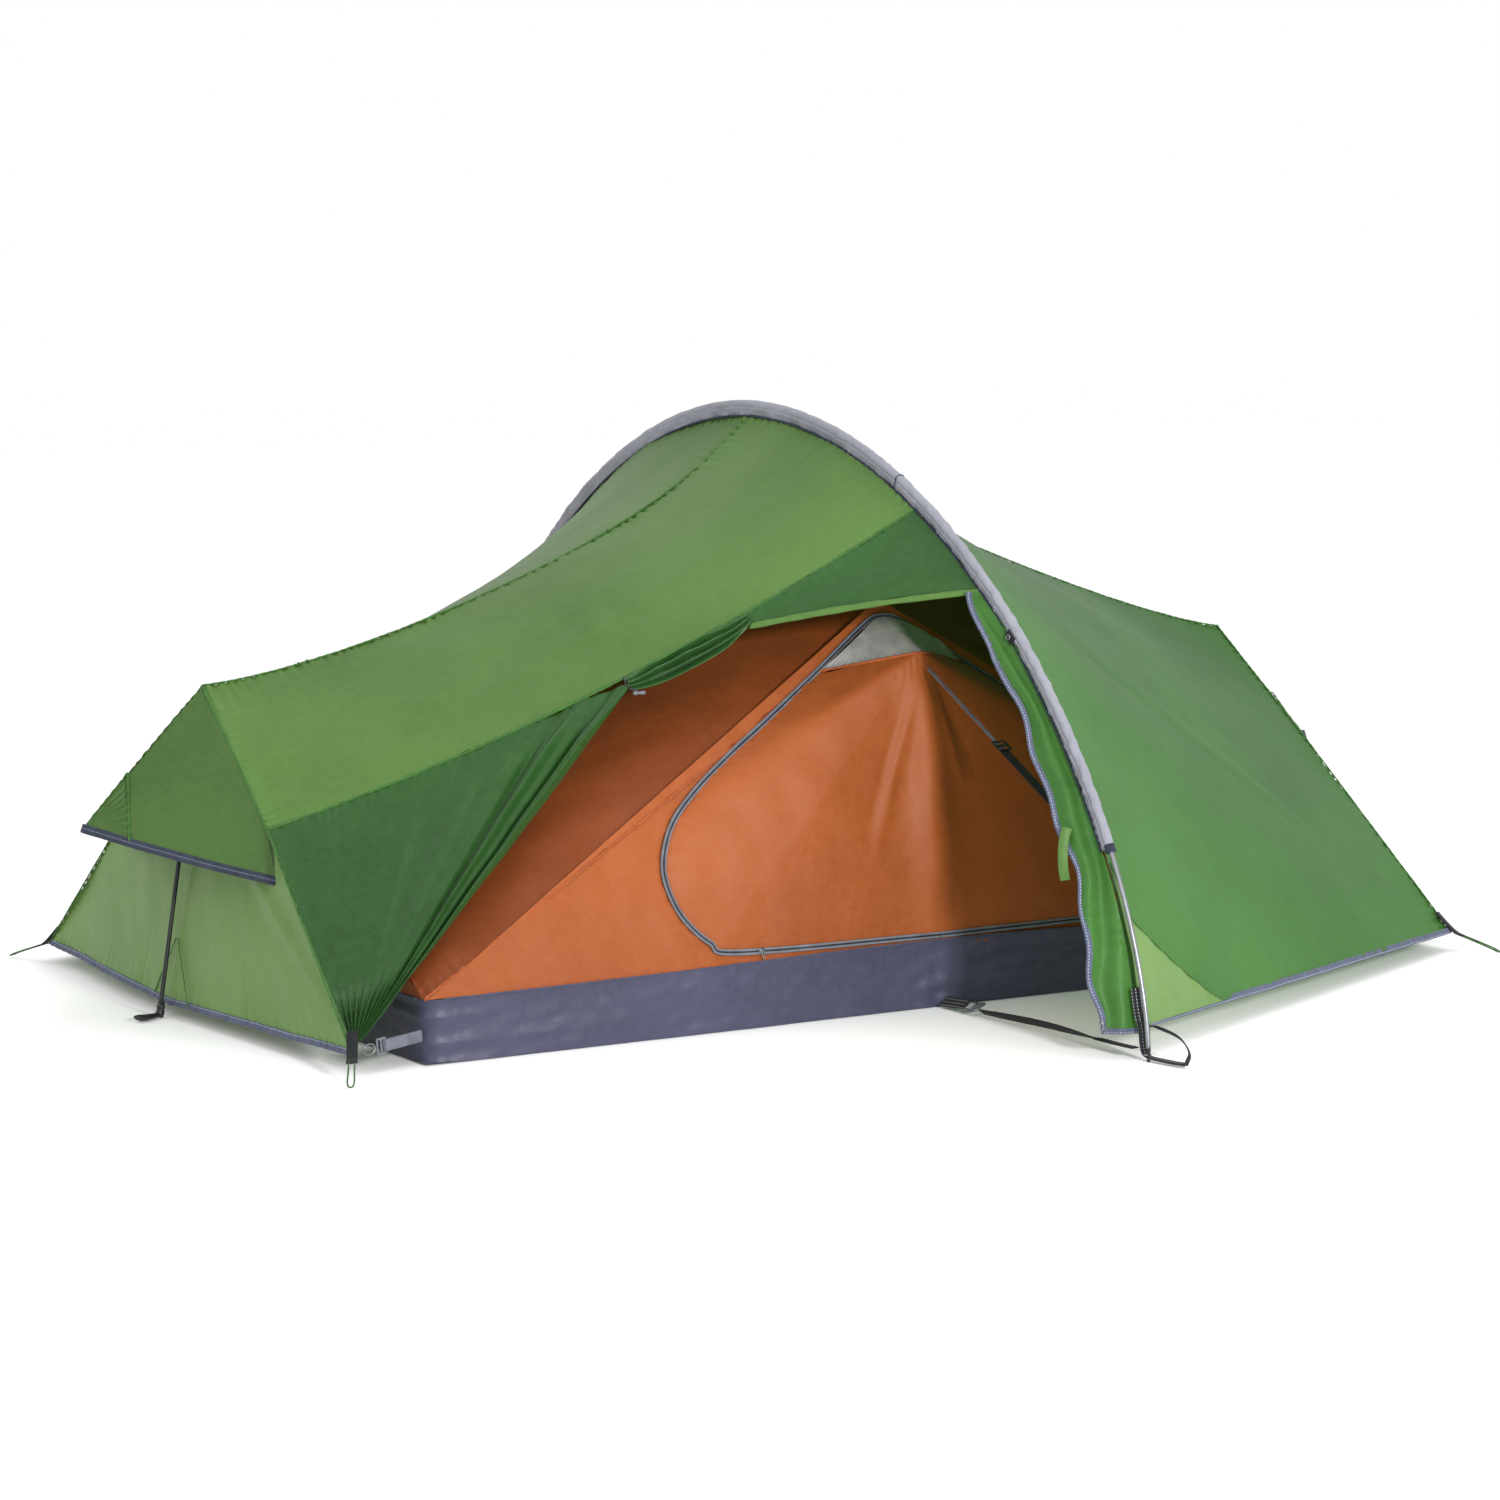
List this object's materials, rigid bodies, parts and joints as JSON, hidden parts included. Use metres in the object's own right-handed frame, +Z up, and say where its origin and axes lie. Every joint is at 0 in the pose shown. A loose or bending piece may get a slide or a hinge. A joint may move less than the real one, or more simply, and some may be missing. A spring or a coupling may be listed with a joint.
{
  "type": "tent",
  "caption": "Small backpacking tent: one arched pole across the middle, beak vent hoods at both ends, open front porch, hung inner tent.",
  "frame": {"origin": "on the ground under the middle of the arch pole", "axes": "+X along the sleepers, towards the closed front quarter; -Y towards the doorway; +Z up"},
  "size_m": [2.9098, 2.932, 1.1475],
  "materials": {
    "alloy": "bare drawn tube",
    "pole_black": "black anodised tube",
    "black_plastic": "moulded",
    "grey_metal": "satin",
    "shock_cord": "braided elastic",
    "fly_green": "coated ripstop weave",
    "fly_dark_green": "coated ripstop weave",
    "fly_light_green": "coated ripstop weave",
    "sleeve_grey": "plain weave",
    "inner_orange": "breathable plain weave",
    "vent_mesh": "fine mesh",
    "floor_grey": "coated floor fabric",
    "webbing_black": "woven tape",
    "webbing_grey": "woven tape",
    "cord_green": "braided elastic cord"
  },
  "bodies": {
    "tent": {"arch_section_1": "alloy", "arch_section_2": "alloy", "arch_section_3": "alloy", "arch_section_4": "alloy", "arch_section_5": "alloy", "arch_section_6": "alloy", "arch_section_7": "alloy", "arch_shock_cord": "shock_cord", "arch_tip_front": "black_plastic", "tension_band_front": "webbing_black", "arch_foot_webbing_front": "webbing_black", "floor_strap_front": "webbing_black", "arch_tip_back": "black_plastic", "tension_band_back": "webbing_black", "arch_foot_webbing_back": "webbing_black", "floor_strap_back": "webbing_black", "arch_sleeve": "sleeve_grey", "end_wall_left": "fly_light_green", "inner_end_left": "inner_orange", "hood_left_front": "fly_green", "inner_roof_left_front": "inner_orange", "corner_strap_left_front": "webbing_grey", "corner_loop_left_front": "cord_green", "hood_left_back": "fly_green", "inner_roof_left_back": "inner_orange", "corner_strap_left_back": "webbing_grey", "corner_loop_left_back": "cord_green", "end_wall_right": "fly_light_green", "inner_end_right": "inner_orange", "hood_right_front": "fly_green", "inner_roof_right_front": "inner_orange", "corner_strap_right_front": "webbing_grey", "corner_loop_right_front": "cord_green", "hood_right_back": "fly_green", "inner_roof_right_back": "inner_orange", "corner_strap_right_back": "webbing_grey", "corner_loop_right_back": "cord_green", "roof_left_front": "fly_green", "side_left_back": "fly_green", "side_right_front": "fly_green", "side_right_back": "fly_green", "doorway_flap": "fly_green", "front_door": "fly_dark_green", "doorway_gable": "fly_dark_green", "groundsheet": "floor_grey", "inner_front_wall": "inner_orange", "inner_back_wall": "inner_orange"},
    "inner_door_panel": {"inner_door": "inner_orange", "inner_door_vent": "vent_mesh"},
    "end_pole_left": {"end_pole_left": "pole_black", "end_pole_shoe_left": "black_plastic"},
    "end_pole_right": {"end_pole_right": "pole_black", "end_pole_shoe_right": "black_plastic"},
    "tension_adjuster_front": {"tension_adjuster_front": "black_plastic"},
    "tension_adjuster_back": {"tension_adjuster_back": "black_plastic"},
    "floor_buckle_front": {"floor_buckle_front": "grey_metal"},
    "floor_buckle_back": {"floor_buckle_back": "grey_metal"},
    "door_toggle": {"door_toggle": "black_plastic"},
    "inner_zip_slider": {"inner_zip_slider": "black_plastic"},
    "door_zip_slider": {"door_zip_slider": "black_plastic"}
  },
  "joints": [
    {"name": "inner_door_swing", "type": "hinge", "parent": "tent", "child": "inner_door_panel", "pos_m": [0, -0.70449, 0.14127], "axis": [-1, 0, 0], "range_deg": [0, 70]},
    {"name": "end_pole_left_tilt", "type": "hinge", "parent": "tent", "child": "end_pole_left", "pos_m": [-1.213, 0, 0.605], "axis": [0, 1, 0], "range_deg": [0, 20]},
    {"name": "end_pole_right_tilt", "type": "hinge", "parent": "tent", "child": "end_pole_right", "pos_m": [1.213, 0, 0.605], "axis": [0, -1, 0], "range_deg": [0, 20]},
    {"name": "band_adjust_front", "type": "slide", "parent": "tent", "child": "tension_adjuster_front", "axis": [0, -0.8845, -0.4666], "range_m": [-0.03, 0.08]},
    {"name": "band_adjust_back", "type": "slide", "parent": "tent", "child": "tension_adjuster_back", "axis": [0, 0.8845, -0.4666], "range_m": [-0.03, 0.08]},
    {"name": "floor_buckle_front_lift", "type": "hinge", "parent": "tent", "child": "floor_buckle_front", "pos_m": [0, -0.806, 0.011], "axis": [-1, 0, 0], "range_deg": [0, 45]},
    {"name": "floor_buckle_back_lift", "type": "hinge", "parent": "tent", "child": "floor_buckle_back", "pos_m": [0, 0.806, 0.011], "axis": [1, 0, 0], "range_deg": [0, 45]},
    {"name": "door_toggle_turn", "type": "hinge", "parent": "tent", "child": "door_toggle", "pos_m": [-0.55274, -0.52692, 0.6202], "axis": [0, -1, 0], "range_deg": [-80, 80]},
    {"name": "inner_zip_run", "type": "slide", "parent": "tent", "child": "inner_zip_slider", "axis": [1, 0, 0], "range_m": [0, 0.78]},
    {"name": "door_zip_run", "type": "slide", "parent": "tent", "child": "door_zip_slider", "axis": [0.0325, 0.212, 0.9767], "range_m": [0, 0.1]}
  ]
}
